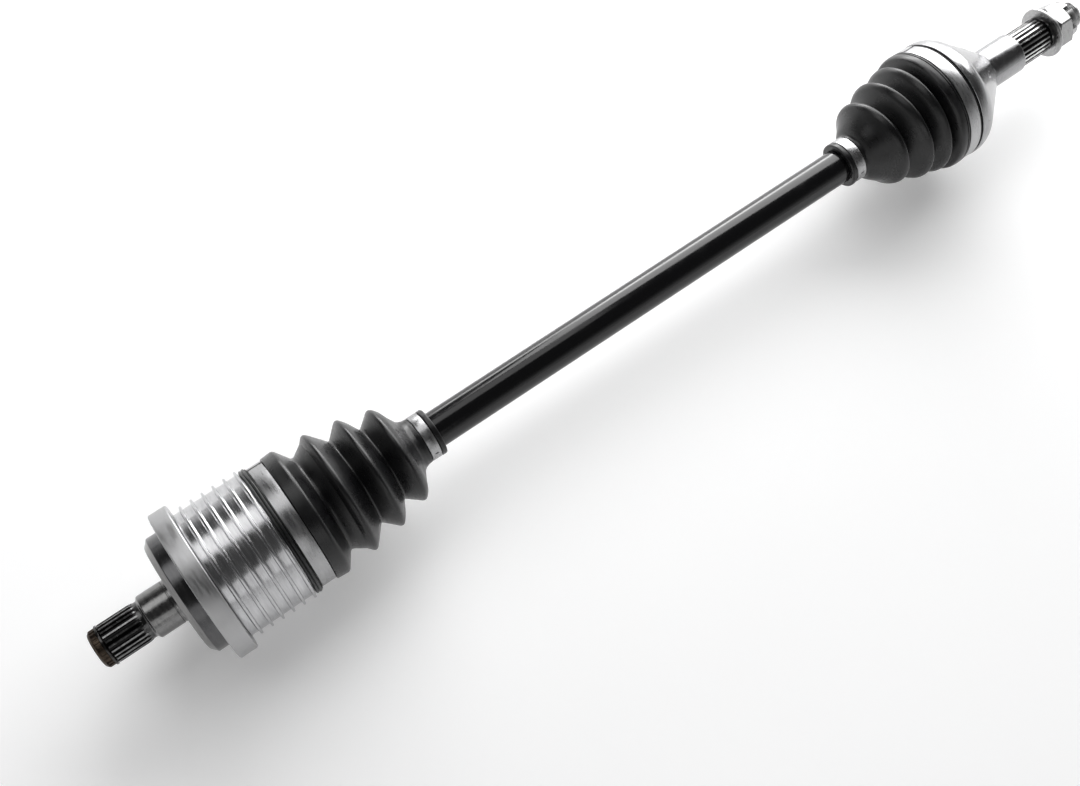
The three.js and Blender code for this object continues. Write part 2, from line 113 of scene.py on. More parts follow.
def rounded(outline, closed=False, steps=4):
    """An outline whose [x, radius, cut] corners are rounded, from cut mm before each one to cut mm after."""
    made = []
    count = len(outline)
    for i, corner in enumerate(outline):
        here = Vector(corner[:2])
        cut = corner[2] if len(corner) > 2 else 0
        if not cut or (not closed and i in (0, count - 1)):
            made.append(tuple(here))
            continue
        before = Vector(outline[i - 1][:2]) - here
        after = Vector(outline[(i + 1) % count][:2]) - here
        start = here + before.normalized() * min(cut, 0.49 * before.length)
        end = here + after.normalized() * min(cut, 0.49 * after.length)
        for step in range(steps + 1):
            t = step / steps
            made.append(tuple(start * (1 - t) ** 2 + here * (2 * t * (1 - t)) + end * t**2))
    return made


def divided(outline, longest):
    """The same outline with points added, so that no stretch is over the longest length."""
    made = [outline[0]]
    for a, b in zip(outline, outline[1:]):
        parts = max(1, math.ceil(math.dist(a, b) / longest))
        made += [tuple(Vector(a).lerp(Vector(b), (i + 1) / parts)) for i in range(parts)]
    return made


def arc(x, r, radius, first, last, steps):
    """Points on a circle about (x, r), from one angle to another, in degrees from +X."""
    angles = [math.radians(first + (last - first) * i / steps) for i in range(steps + 1)]
    return [(x + radius * math.cos(a), r + radius * math.sin(a)) for a in angles]


# --- How a radius changes round the axis ---------------------------------------------------------------
# Each of these gives radius(x, angle, r) for a station of the outline at x and r. Angles are from +Y.


def teeth(root, tip):
    """Spline teeth between two radii, with sloping flanks."""

    def radius(x, angle, r):
        share = abs((angle * SPLINE_TEETH / TURN + 0.5) % 1 - 0.5)
        blend = min(1, max(0, (share - TOOTH_TOP) / TOOTH_FLANK))
        return tip + (root - tip) * blend

    return radius


def thread(pitch, depth):
    """A helical thread cut into the outline's own radius, with narrow flats on its crest and root."""
    steepness, crest = 1.3, 0.1

    def radius(x, angle, r):
        share = abs(2 * ((x / pitch - angle / TURN) % 1) - 1)
        return r - depth * min(1, max(0, share * steepness - crest))

    return radius


def track_edge(angle, x, side):
    """The near (-1) or far (1) side of the ball track closest to an angle, at x from the joint's centre."""
    off = (angle + TURN / BALLS / 2) % (TURN / BALLS) - TURN / BALLS / 2
    reach = TRACK_RADIUS**2 - (BALL_PITCH_RADIUS * math.sin(off)) ** 2
    if reach <= 0:
        return None
    centre = BALL_PITCH_RADIUS * math.cos(off)
    return math.sqrt(max(0, (centre + side * math.sqrt(reach)) ** 2 - x * x))


def track_outside(arc_centre=None):
    """Tracks in a housing's cavity: straight ones, or arcs about a centre."""

    def radius(x, angle, r):
        edge = track_edge(angle, 0 if arc_centre is None else x - arc_centre, 1)
        return r if edge is None else max(r, edge)

    return radius


def track_inside(arc_centre=None):
    """Tracks in a race's outside."""

    def radius(x, angle, r):
        edge = track_edge(angle, 0 if arc_centre is None else x - arc_centre, -1)
        return r if edge is None else min(r, edge)

    return radius


def hexagon(flats):
    """A hexagon with slightly blunted corners, no wider than the outline."""
    blunted = flats / 2 * 1.14

    def radius(x, angle, r):
        off = (angle + TURN / 12) % (TURN / 6) - TURN / 12
        return min(r, flats / 2 / math.cos(TURN / 12 - abs(off)), blunted)

    return radius


def stations(outline, shape=None):
    """Rows for skin(): each point of an outline with the shape that it has round the axis."""
    return [(x, r, shape) for x, r in outline]


# --- Meshes --------------------------------------------------------------------------------------------

EVEN_ANGLES = [TURN * i / SEGMENTS for i in range(SEGMENTS)]
# where a tooth's vertices lie, as shares of its pitch: on its edges, halfway up its flanks and between
TOOTH_SHARES = (-0.38, -0.27, -0.21, -0.15, -0.05, 0.05, 0.15, 0.21, 0.27, 0.38)
TOOTH_ANGLES = [(n + share) * TURN / SPLINE_TEETH for n in range(SPLINE_TEETH) for share in TOOTH_SHARES]


def linked(name, mesh):
    """A new object in the scene."""
    made = bpy.data.objects.new(name, mesh)
    bpy.context.scene.collection.objects.link(made)
    return made


def mesh_object(name, vertices, faces, sharp=SHARP_DEGREES):
    """A closed mesh in metres with its faces turned outwards, smooth except over the sharp angle."""
    mesh = bpy.data.meshes.new(name)
    mesh.from_pydata(vertices, [], faces)
    work = bmesh.new()
    work.from_mesh(mesh)
    bmesh.ops.remove_doubles(work, verts=work.verts, dist=1e-7)
    bmesh.ops.recalc_face_normals(work, faces=work.faces)
    work.to_mesh(mesh)
    work.free()
    mesh.shade_smooth()
    mesh.set_sharp_from_angle(angle=math.radians(sharp))
    return linked(name, mesh)


def turned_point(x, radius, angle):
    """A vertex in metres at an angle from +Y about X."""
    return (x * MM, radius * MM * math.cos(angle), radius * MM * math.sin(angle))


def skin(name, rows, angles=EVEN_ANGLES, closed=False, sharp=SHARP_DEGREES):
    """A surface turned about X through stations. An open one ends on the axis; a closed one is a ring."""
    vertices, rings, faces = [], [], []
    for x, r, shape in rows:
        if r <= 0:
            rings.append([len(vertices)])
            vertices.append((x * MM, 0, 0))
            continue
        ring = []
        for angle in angles:
            radius = shape(x, angle, r) if shape else r
            ring.append(len(vertices))
            vertices.append(turned_point(x, radius, angle))
        rings.append(ring)
    pairs = list(zip(rings, rings[1:])) + ([(rings[-1], rings[0])] if closed else [])
    for a, b in pairs:
        for i in range(len(angles)):
            j = (i + 1) % len(angles)
            if len(a) == 1:
                faces.append((a[0], b[i], b[j]))
            elif len(b) == 1:
                faces.append((a[i], b[0], a[j]))
            else:
                faces.append((a[i], b[i], b[j], a[j]))
    return mesh_object(name, vertices, faces, sharp)


def swept(name, section, first, last, steps=48):
    """A bar of the given [x, radius] section, bent round X from one angle to another, with flat ends."""
    vertices, faces = [], []
    count = len(section)
    for step in range(steps + 1):
        angle = first + (last - first) * step / steps
        vertices += [turned_point(x, r, angle) for x, r in section]
    for step in range(steps):
        for i in range(count):
            j = (i + 1) % count
            a, b = step * count, (step + 1) * count
            faces.append((a + i, a + j, b + j, b + i))
    faces.append(tuple(range(count)))
    faces.append(tuple(range(steps * count, (steps + 1) * count)))
    return mesh_object(name, vertices, faces)


def joined(name, *parts):
    """One object made of several."""
    work = bmesh.new()
    for part in parts:
        work.from_mesh(part.data)
        bpy.data.objects.remove(part)
    mesh = bpy.data.meshes.new(name)
    work.to_mesh(mesh)
    work.free()
    return linked(name, mesh)


def block(size, place, turn):
    """A cutting block of the given size in millimetres, moved to place and then turned about X."""
    work = bmesh.new()
    bmesh.ops.create_cube(work, size=MM)
    bmesh.ops.scale(work, verts=work.verts, vec=size)
    bmesh.ops.translate(work, verts=work.verts, vec=Vector(place) * MM)
    bmesh.ops.rotate(work, verts=work.verts, cent=(0, 0, 0), matrix=Matrix.Rotation(turn, 3, "X"))
    mesh = bpy.data.meshes.new("block")
    work.to_mesh(mesh)
    work.free()
    return linked("block", mesh)


def cut(target, *cutters):
    """The target with the cutters' volumes taken out of it."""
    for cutter in cutters:
        step = target.modifiers.new("cut", "BOOLEAN")
        step.operation = "DIFFERENCE"
        step.solver = "EXACT"
        step.object = cutter
    depsgraph = bpy.context.evaluated_depsgraph_get()
    mesh = bpy.data.meshes.new_from_object(target.evaluated_get(depsgraph))
    target.modifiers.clear()
    target.data = mesh
    for cutter in cutters:
        bpy.data.objects.remove(cutter)
    mesh.shade_smooth()
    mesh.set_sharp_from_angle(angle=math.radians(SHARP_DEGREES))
    return target


# --- Materials -----------------------------------------------------------------------------------------


def add(tree, kind, inputs=None, **settings):
    """A shader node with its settings and inputs; an input may be a value or another node's output."""
    made = tree.nodes.new(kind)
    for key, value in settings.items():
        setattr(made, key, value)
    for key, value in (inputs or {}).items():
        if isinstance(value, bpy.types.NodeSocket):
            tree.links.new(value, made.inputs[key])
        else:
            made.inputs[key].default_value = value
    return made


def maths(tree, operation, a, b=0.0):
    """One sum on two values."""
    return add(tree, "ShaderNodeMath", {0: a, 1: b}, operation=operation).outputs[0]


def object_place(tree):
    return add(tree, "ShaderNodeTexCoord").outputs["Object"]


def off_axis(tree):
    """The X, Y and Z of a point, and its distance from the axis."""
    axes = add(tree, "ShaderNodeSeparateXYZ", {0: object_place(tree)}).outputs
    square = maths(tree, "ADD", maths(tree, "POWER", axes[1], 2), maths(tree, "POWER", axes[2], 2))
    return axes, maths(tree, "MAXIMUM", maths(tree, "SQRT", square), MM)


def stretched(tree, along, around):
    """Coordinates for marks that run round the axis: fine along the outline, long round it."""
    axes, r = off_axis(tree)
    outline = maths(tree, "MULTIPLY", maths(tree, "ADD", axes[0], r), along)
    y = maths(tree, "MULTIPLY", maths(tree, "DIVIDE", axes[1], r), around)
    z = maths(tree, "MULTIPLY", maths(tree, "DIVIDE", axes[2], r), around)
    return add(tree, "ShaderNodeCombineXYZ", {0: outline, 1: y, 2: z}).outputs[0]


def noise(tree, vector, scale=1.0, detail=4.0, roughness=0.55):
    """Cloudy noise, from 0 to 1."""
    inputs = {"Vector": vector, "Scale": scale, "Detail": detail, "Roughness": roughness}
    return add(tree, "ShaderNodeTexNoise", inputs).outputs["Fac"]


def ranged(tree, value, low, high, to_low, to_high):
    """A value carried from one range to another, and kept within it."""
    inputs = {"Value": value, "From Min": low, "From Max": high, "To Min": to_low, "To Max": to_high}
    return add(tree, "ShaderNodeMapRange", inputs).outputs["Result"]


def mixed(tree, factor, a, b):
    """A colour between two others."""
    made = add(tree, "ShaderNodeMix", data_type="RGBA")
    for index, value in ((0, factor), (6, a), (7, b)):
        if isinstance(value, bpy.types.NodeSocket):
            tree.links.new(value, made.inputs[index])
        else:
            made.inputs[index].default_value = value if index == 0 else (*value, 1)
    return made.outputs[2]


def bumped(tree, height, strength, distance, below=None):
    """A normal tilted by a height, on top of the bumps below."""
    inputs = {"Height": height, "Strength": strength, "Distance": distance}
    if below:
        inputs["Normal"] = below
    return add(tree, "ShaderNodeBump", inputs).outputs["Normal"]


def principled(name):
    """A new material, its nodes and its surface shader."""
    made = bpy.data.materials.new(name)
    made.use_nodes = True
    return made, made.node_tree, made.node_tree.nodes["Principled BSDF"]


def turned_metal(name, light, dark, rough, rings, blotches, anisotropic, groove=None):
    """Metal with fine tool rings round the axis, cloudy handling marks and uneven polish.

    groove is (inner radius, outer radius, colour): painted shade of that colour fades in towards the inner
    radius, darkening tooth roots and grooves.
    """
    made, tree, shader = principled(name)
    fine = noise(tree, stretched(tree, 2600, 1.6), 1.0, 3)
    streaks = noise(tree, stretched(tree, 420, 3.0), 1.0, 5, 0.6)
    place = object_place(tree)
    clouds = noise(tree, place, 38, 5, 0.62)
    marks = noise(tree, place, 420, 3, 0.7)
    colour = mixed(tree, ranged(tree, streaks, 0.32, 0.68, 0, 1), dark, light)
    shade = tuple(channel * (1 - 0.45 * blotches) for channel in dark)
    colour = mixed(tree, ranged(tree, clouds, 0.52, 0.75, 0, blotches), colour, shade)
    # painted shade: the colour darkens towards the axis, into tooth roots and grooves
    if groove:
        inner, outer, painted_shade = groove
        distance = off_axis(tree)[1]
        colour = mixed(tree, ranged(tree, distance, inner * MM, outer * MM, 1, 0), colour, painted_shade)
    polish = ranged(tree, streaks, 0.3, 0.7, rough * 0.75, rough * 1.3)
    wear = ranged(tree, clouds, 0.45, 0.8, 0, 0.14 * blotches)
    specks = ranged(tree, marks, 0.62, 0.8, 0, 0.1)
    tree.links.new(colour, shader.inputs["Base Color"])
    tree.links.new(maths(tree, "ADD", maths(tree, "ADD", polish, wear), specks), shader.inputs["Roughness"])
    tool_rings = bumped(tree, fine, 0.10 * rings, 0.0002)
    tree.links.new(bumped(tree, marks, 0.05, 0.0002, tool_rings), shader.inputs["Normal"])
    shader.inputs["Metallic"].default_value = 1
    shader.inputs["Anisotropic"].default_value = anisotropic
    tangent = add(tree, "ShaderNodeTangent", direction_type="RADIAL", axis="X").outputs[0]
    tree.links.new(tangent, shader.inputs["Tangent"])
    return made


def gloss_paint():
    """Black enamel: a faint orange peel, a little dust and a few dull rubs."""
    made, tree, shader = principled("gloss_black_paint")
    place = object_place(tree)
    peel = noise(tree, place, 700, 2, 0.5)
    rubs = noise(tree, place, 60, 6, 0.65)
    dust = noise(tree, place, 2600, 2, 0.6)
    black, dusty = (0.003, 0.003, 0.0035), (0.02, 0.02, 0.02)
    colour = mixed(tree, ranged(tree, dust, 0.66, 0.8, 0, 0.5), black, dusty)
    tree.links.new(colour, shader.inputs["Base Color"])
    dull = ranged(tree, rubs, 0.5, 0.8, 0.13, 0.26)
    rough = maths(tree, "ADD", dull, ranged(tree, dust, 0.62, 0.8, 0, 0.2))
    tree.links.new(rough, shader.inputs["Roughness"])
    tree.links.new(bumped(tree, peel, 0.045, 0.0004), shader.inputs["Normal"])
    shader.inputs["Specular IOR Level"].default_value = 0.5
    return made


def boot_rubber(name, rough, light):
    """Moulded rubber: a fine grain, flow lines round the axis and a grey bloom in patches."""
    made, tree, shader = principled(name)
    place = object_place(tree)
    grain = noise(tree, place, 2400, 3, 0.6)
    bloom = noise(tree, place, 55, 6, 0.65)
    flow = noise(tree, stretched(tree, 700, 2.2), 1.0, 4)
    black, bloomed = (0.004, 0.004, 0.0045), (light, light, light * 1.06)
    colour = mixed(tree, ranged(tree, bloom, 0.42, 0.72, 0, 1), black, bloomed)
    tree.links.new(colour, shader.inputs["Base Color"])
    patchy = ranged(tree, bloom, 0.35, 0.7, rough - 0.06, rough + 0.1)
    polish = maths(tree, "ADD", patchy, ranged(tree, flow, 0.4, 0.7, 0, 0.06))
    tree.links.new(polish, shader.inputs["Roughness"])
    flow_lines = bumped(tree, flow, 0.06, 0.0004)
    tree.links.new(bumped(tree, grain, 0.22, 0.0002, flow_lines), shader.inputs["Normal"])
    shader.inputs["Specular IOR Level"].default_value = 0.45
    return made


PAINT = gloss_paint()
RUBBER = boot_rubber("boot_rubber", rough=0.27, light=0.007)
SATIN_RUBBER = boot_rubber("boot_collar_rubber", rough=0.3, light=0.022)
DRUM_STEEL = turned_metal(
    "bright_turned_steel", (0.6, 0.6, 0.61), (0.45, 0.45, 0.46),
    rough=0.18, rings=0.6, blotches=0.25, anisotropic=0.35,
)
BELL_STEEL = turned_metal(
    "satin_bell_steel", (0.36, 0.36, 0.365), (0.28, 0.28, 0.285),
    rough=0.22, rings=0.5, blotches=0.2, anisotropic=0.3,
)
RING_STEEL = turned_metal(
    "satin_turned_steel", (0.46, 0.46, 0.465), (0.42, 0.42, 0.425),
    rough=0.38, rings=0.5, blotches=0.15, anisotropic=0.2,
)
GROUND_STEEL = turned_metal(
    "ground_steel", (0.34, 0.34, 0.345), (0.28, 0.28, 0.285),
    rough=0.18, rings=0.4, blotches=0.15, anisotropic=0.3,
)
STUB_STEEL = turned_metal(
    "oily_ground_steel", (0.26, 0.258, 0.255), (0.18, 0.18, 0.18),
    rough=0.2, rings=0.4, blotches=0.2, anisotropic=0.3,
)
DARK_STEEL = turned_metal(
    "dark_steel", (0.13, 0.13, 0.132), (0.09, 0.09, 0.093),
    rough=0.2, rings=0.5, blotches=0.3, anisotropic=0.3,
)
OILED_STEEL = turned_metal(
    "oiled_steel", (0.09, 0.087, 0.085), (0.03, 0.029, 0.028),
    rough=0.2, rings=0.2, blotches=0.6, anisotropic=0.0,
)
NOSE_STEEL = turned_metal(
    "worn_brown_steel", (0.11, 0.085, 0.065), (0.025, 0.019, 0.015),
    rough=0.4, rings=0.5, blotches=0.9, anisotropic=0.0,
)
PAINTED_ROOT_SHADE = (0.012, 0.012, 0.012)  # painted shade for the roots between teeth
# painted shade darkens the tooth roots and the grooves beside them
OILED_TEETH_SHADED_ROOTS = turned_metal(
    "oiled_teeth_painted_root_shade", (0.3, 0.3, 0.3), (0.12, 0.12, 0.12),
    rough=0.2, rings=0.3, blotches=0.4, anisotropic=0.0, groove=(12.0, 12.9, PAINTED_ROOT_SHADE),
)
# painted shade darkens the tooth roots and the relief behind them
TOOTH_STEEL_SHADED_ROOTS = turned_metal(
    "bright_teeth_painted_root_shade", (0.6, 0.6, 0.6), (0.45, 0.45, 0.45),
    rough=0.2, rings=0.3, blotches=0.2, anisotropic=0.0, groove=(11.8, 12.8, PAINTED_ROOT_SHADE),
)
BAND_STEEL = turned_metal(
    "stainless_band", (0.42, 0.42, 0.425), (0.35, 0.35, 0.355),
    rough=0.28, rings=0.5, blotches=0.25, anisotropic=0.3,
)
PLATED_STEEL = turned_metal(
    "zinc_plate", (0.4, 0.4, 0.4), (0.3, 0.3, 0.3),
    rough=0.3, rings=0.5, blotches=0.5, anisotropic=0.0,
)
BALL_STEEL = turned_metal(
    "bearing_steel", (0.8, 0.8, 0.8), (0.72, 0.72, 0.72),
    rough=0.08, rings=0.1, blotches=0.1, anisotropic=0.0,
)


def finished(piece, body, slot, materials, *nodes):
    """The piece gets its material, rides on its body and stands for its CAD nodes.

    materials is one material, or (from x, material) zones along the axis in rising order.
    """
    zones = materials if isinstance(materials, list) else [(-math.inf, materials)]
    piece.data.materials.clear()
    for _, shader in zones:
        piece.data.materials.append(shader)
    if len(zones) > 1:
        starts = [start * MM for start, _ in zones]
        for face in piece.data.polygons:
            face.material_index = max(i for i, start in enumerate(starts) if face.center.x >= start)
    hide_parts(*nodes)
    if body:
        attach(piece, body)
    return piece


# --- The bar -------------------------------------------------------------------------------------------


def axle_bar():
    """The painted bar, with a narrower neck inside each joint."""
    start, end, radius = span("axle_bar")
    neck = 10.9  # radius of the ends, which carry the races
    seat = 26.3  # from each end of the bar to the shoulder behind a race
    outline = [
        [start, 0],
        [start, neck - 0.8, 0.4],
        [start + 1.2, neck, 0.3],
        [start + seat, neck, 0.2],
        [start + seat, radius, 0.5],
        [end - seat, radius, 0.5],
        [end - seat, neck, 0.2],
        [end - 1.2, neck, 0.3],
        [end, neck - 0.8, 0.4],
        [end, 0],
    ]
    finished(skin("bar", stations(rounded(outline))), "axle_bar", "black_paint", PAINT, "axle_bar")


# --- Gearbox end ---------------------------------------------------------------------------------------

STEP_X = TIP_X + 54.7  # flat face behind the stub
RING_START_X, RING_END_X, RING_RADIUS = span("inner_dust_ring")
DRUM_RADIUS = 43.5
DRUM_END_X = -274.9
FIN_RADIUS = 46
FIN_COUNT = 6
FIRST_FIN_X = -314.1
FIN_PITCH = 7.58
STUB_RADIUS = 14.7
NOSE_RADIUS = 12.6
CIRCLIP_GROOVE_X = TIP_X + 5.4
CIRCLIP_GROOVE_WIDTH = 2.0
CIRCLIP_GROOVE_RADIUS = 11.1
RING_OPENING_DEGREES = 24  # between the ends of a circlip or stop ring
STOP_GROOVE_X = (-260.4, -262.8)  # walls of the stop ring's groove, the one nearer the mouth first
STOP_GROOVE_RADIUS = 35.6
DRUM_FLOOR_X = -322.0


def nose_and_spline():
    """The stub's rounded nose, the circlip's groove, and teeth that run out into the stub."""
    groove = CIRCLIP_GROOVE_X
    teeth_start = groove + CIRCLIP_GROOVE_WIDTH
    tip = [[TIP_X, 9.4, 0], [TIP_X, 10.9, 0.5]]
    nose = rounded([*tip, [TIP_X + 1.7, NOSE_RADIUS, 0.5], [groove, NOSE_RADIUS]])
    rows = [(TIP_X, 0, None)] + stations(nose[:-3]) + stations(nose[-3:], teeth(11.9, NOSE_RADIUS))
    rows += stations([(groove, CIRCLIP_GROOVE_RADIUS), (teeth_start, CIRCLIP_GROOVE_RADIUS)])
    rows += stations([(teeth_start, CIRCLIP_GROOVE_RADIUS)], teeth(SPLINE_ROOT_RADIUS, SPLINE_RADIUS - 0.8))
    # how far past the groove, how much the root has risen, how much the tip has dropped
    runout = [
        (2.6, 0, 0),
        (20.5, 0, 0),
        (22.0, 0.1, 0),
        (23.5, 0.3, 0.05),
        (24.8, 0.5, 0.3),
        (25.8, 0.65, 0.65),
    ]
    for x, root_rise, tip_drop in runout:
        shape = teeth(SPLINE_ROOT_RADIUS + root_rise, SPLINE_RADIUS - tip_drop)
        rows += stations([(groove + x, SPLINE_RADIUS)], shape)
    return rows


def drum_cavity():
    """The sliding joint's straight bore with its tracks, from the mouth to the floor."""
    near, far = STOP_GROOVE_X
    bore = [
        (INNER_MOUTH_X, 36.0),
        (INNER_MOUTH_X - 1.6, CAVITY_RADIUS),
        (near, CAVITY_RADIUS),
        (near, STOP_GROOVE_RADIUS),
        (far, STOP_GROOVE_RADIUS),
        (far, CAVITY_RADIUS),
        (DRUM_FLOOR_X + 3.0, CAVITY_RADIUS),
    ]
    end = [(DRUM_FLOOR_X + 0.6, CAVITY_RADIUS - 1.0), (DRUM_FLOOR_X, 30.0), (DRUM_FLOOR_X, 0)]
    return stations(bore, track_outside()) + stations(end)


def inner_housing():
    """The splined stub, the step behind it and the finned drum, round the joint's cavity."""
    groove = CIRCLIP_GROOVE_X
    body = [
        [groove + 26.6, 12.4, 0.5],
        [groove + 28.2, 12.4, 0.9],
        [groove + 29.8, STUB_RADIUS, 0.6],
        [STEP_X - 3.4, STUB_RADIUS, 0.1],
        [STEP_X - 3.2, STUB_RADIUS - 0.3, 0.1],
        [STEP_X - 2.6, STUB_RADIUS - 0.3, 0.1],
        [STEP_X - 2.4, STUB_RADIUS, 0.1],
        [STEP_X, STUB_RADIUS, 0.6],
        [STEP_X, 21, 0.1],
        [STEP_X + 0.25, 21.4, 0.1],
        [STEP_X, 21.8, 0.1],
        [STEP_X, 36.2, 0.4],
        [STEP_X + 3.7, 40.4, 0.5],
        [RING_END_X + GAP, 40.4],
        [RING_END_X + GAP, DRUM_RADIUS, 0.3],
    ]
    foot, crest = 1.05, 0.75  # half a fin's width
    for i in range(FIN_COUNT):
        x = FIRST_FIN_X + i * FIN_PITCH
        body += [
            [x - foot, DRUM_RADIUS, 0.5],
            [x - crest, FIN_RADIUS, 0.3],
            [x + crest, FIN_RADIUS, 0.3],
            [x + foot, DRUM_RADIUS, 0.5],
        ]
    body += [
        [DRUM_END_X, DRUM_RADIUS, 0.5],
        [DRUM_END_X, 39.6],
        [INNER_MOUTH_X, 39.6, 0.6],
        [INNER_MOUTH_X, 36.2, 0.3],
    ]
    rows = nose_and_spline() + stations(rounded(body)[:-1]) + drum_cavity()
    zones = [
        (-math.inf, NOSE_STEEL),
        (groove - 0.01, OILED_TEETH_SHADED_ROOTS),
        (groove + 29.4, STUB_STEEL),
        (STEP_X + 3.6, DARK_STEEL),
        (RING_END_X, DRUM_STEEL),
    ]
    housing = skin("inner_housing_machined", rows, TOOTH_ANGLES)
    finished(housing, "inner_housing", "machined_steel", zones, "inner_housing")


def inner_dust_ring():
    """The wide flat ring pressed on the drum's end, with a small lip towards the fins."""
    bore = 40.7
    outline = [
        [RING_START_X, bore, 0.5],
        [RING_START_X, RING_RADIUS, 0.9],
        [RING_END_X, RING_RADIUS, 0.9],
        [RING_END_X, bore + 3.4, 0.3],
        [RING_END_X - 0.6, bore + 2.6, 0.3],
        [RING_END_X - 0.6, bore, 0.3],
    ]
    ring = skin("dust_ring", stations(rounded(outline, True)), closed=True)
    finished(ring, "inner_housing", "ring_steel", RING_STEEL, "inner_dust_ring")


def open_ring(name, node, body, opening_from_z, inside, outside):
    """A circlip or stop ring with rounded edges, open at an angle from +Z towards +Y."""
    start, end, _ = span(node)
    edge = 0.25
    corners = [[start, inside, edge], [end, inside, edge], [end, outside, edge], [start, outside, edge]]
    middle = math.radians(90 - opening_from_z)
    half = math.radians(RING_OPENING_DEGREES / 2)
    ring = swept(name, rounded(corners, True, 2), middle + half, middle + TURN - half, 96)
    finished(ring, body, "oiled_steel", OILED_STEEL, node)


# --- Boots ---------------------------------------------------------------------------------------------


def boot(name, outside, inside):
    """A closed rubber skin from its outside and inside outlines, finely divided."""
    fine, coarse = 0.9, 1.6  # longest stretch of each outline
    outer = divided(rounded(outside, steps=8), fine)
    inner = divided(rounded(inside, steps=4), coarse)
    return skin(name, stations(outer + inner[::-1]), closed=True, sharp=50)


def lining(folds):
    """The inside of a bellows, one wall under its outside."""
    return [[x, r - BOOT_WALL, cut] for x, r, cut in folds]


def inner_boot():
    """Two pieces that meet on a flank: one on the bar side, the other at the housing end."""
    seam = [-233.6, 38.6]
    lined_seam = [seam[0], seam[1] - BOOT_WALL]
    bar_side_folds = [
        [-229.6, 43.4, 3.0],
        [-225.0, 38.4, 3.4],
        [-217.8, 29.8, 1.5],
        [-207.4, 39.9, 2.8],
        [-203.0, 34.6, 3.2],
        [-197.9, 25.4, 1.5],
        [-187.0, 34.3, 2.6],
        [-183.0, 30.2, 2.6],
        [-180.4, 24.2, 2.0],
        [-176.6, 17.6, 2.2],
    ]
    end = [
        [-173.0, 16.2, 0.5],
        [-170.2, 16.0, 0.5],
        [-170.1, 14.9, 0.3],
        [-162.5, 14.9, 0.3],
        [-162.4, 16.1, 0.7],
        [-159.0, 16.1, 0.9],
        [-158.7, 14.6, 0.3],
        [-158.7, 12.3],
    ]
    inside = [lined_seam] + lining(bar_side_folds[:-1]) + [[-174, 12.3, 1], [-158.8, 12.3]]
    bar_side = boot("inner_boot_bar_side", [seam] + bar_side_folds + end, inside)
    housing_end = [
        [-274.4, 40.0],
        [-274.4, 43.4, 0.5],
        [-273.8, 44.5, 0.7],
        [-272.8, 44.5, 0.4],
        [-272.4, 43.7, 0.3],
        [-272.0, 44.6, 0.4],
        [-270.6, 44.6, 0.5],
        [-270.2, 43.2, 0.3],
        [-269.7, 44.0, 0.4],
        [-269.2, 41.8, 0.3],
        [-259.3, 41.8, 0.3],
        [-258.9, 43.7, 0.5],
        [-250.2, 44.3, 1.8],
        [-242.3, 32.9, 2.4],
    ]
    lined = [[-274.3, 39.9], [-256.4, 39.9, 1.5], [-250.2, 41.2, 1.5], [-242.3, 30.7, 2.0], lined_seam]
    housing_side = boot("inner_boot_housing_side", housing_end + [seam], lined)
    for piece in (bar_side, housing_side):
        finished(piece, None, "boot_rubber", RUBBER, "inner_boot")
    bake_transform(bar_side)
    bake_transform(housing_side)


def outer_boot():
    """Three leaning folds that grow towards the bell, and a grooved collar under its clamp."""
    folds = [
        [190.6, 16.4, 1.2],
        [193.0, 19.8, 2.5],
        [201.6, 27.0, 3.4],
        [205.6, 31.6, 1.8],
        [209.4, 32.6, 2.2],
        [211.8, 29.6, 1.8],
        [212.0, 21.6, 1.0],
        [218.4, 29.0, 3.2],
        [222.6, 36.4, 2.0],
        [226.4, 38.6, 2.3],
        [228.6, 35.8, 1.8],
        [228.8, 27.4, 1.0],
        [234.4, 33.6, 2.8],
        [238.0, 39.4, 1.9],
        [241.6, 41.3, 2.2],
        [243.8, 39.0, 1.7],
        [244.0, 32.6, 1.0],
        [247.4, 38.4, 2.0],
        [249.2, 42.9, 1.1],
        [251.4, 43.9, 1.3],
    ]
    outside = [
        [176.7, 12.3],
        [176.7, 15.0, 0.5],
        [177.2, 16.1, 0.8],
        [180.2, 16.1, 0.6],
        [180.4, 14.9, 0.3],
        [188.4, 14.9, 0.3],
        [188.5, 15.9, 0.4],
        *folds,
        [254.4, 43.9, 0.3],
        [254.6, 43.3, 0.15],
        [254.9, 43.3, 0.15],
        [255.1, 43.9, 0.2],
        [256.0, 43.9, 0.2],
        [256.2, 43.3, 0.15],
        [256.6, 43.3, 0.15],
        [256.8, 43.8, 0.2],
        [257.3, 42.6, 0.2],
        [266.9, 42.6, 0.3],
        [267.3, 43.3, 0.3],
        [267.9, 43.0, 0.3],
        [268.0, 41.2],
    ]
    inside = [[176.8, 12.3], [190.2, 12.5, 1.5]] + lining(folds[2:]) + [[254.8, 41.2, 1.0], [267.9, 41.1]]
    piece = boot("outer_boot_bellows", outside, inside)
    lean(piece, first=190, last=254, amount=0.09)
    shoulder_x = 249.6
    finished(piece, None, "boot_rubber", [(-math.inf, RUBBER), (shoulder_x, SATIN_RUBBER)], "outer_boot")
    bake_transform(piece)


def lean(piece, first, last, amount):
    """The folds between two stations sit askew: pushed along on the -Y side and drawn back on the +Y side."""
    for vertex in piece.data.vertices:
        share = (vertex.co.x / MM - first) / (last - first)
        if 0 < share < 1:
            swell = 6.75 * share * (1 - share) ** 2  # 1 at a third of the way
            vertex.co.x -= amount * swell * vertex.co.y


BAND_WALL = 0.9  # both layers of a clamp's band
BAND_LAYER = 0.4
BAND_EDGE = 0.18
EAR_HEIGHT = 0.7
EAR_FOOT = 3.4  # half of the ear's length round the band
EAR_ROWS = 17
SLOT_SIZE = (2.3, 1.4, 1.9)


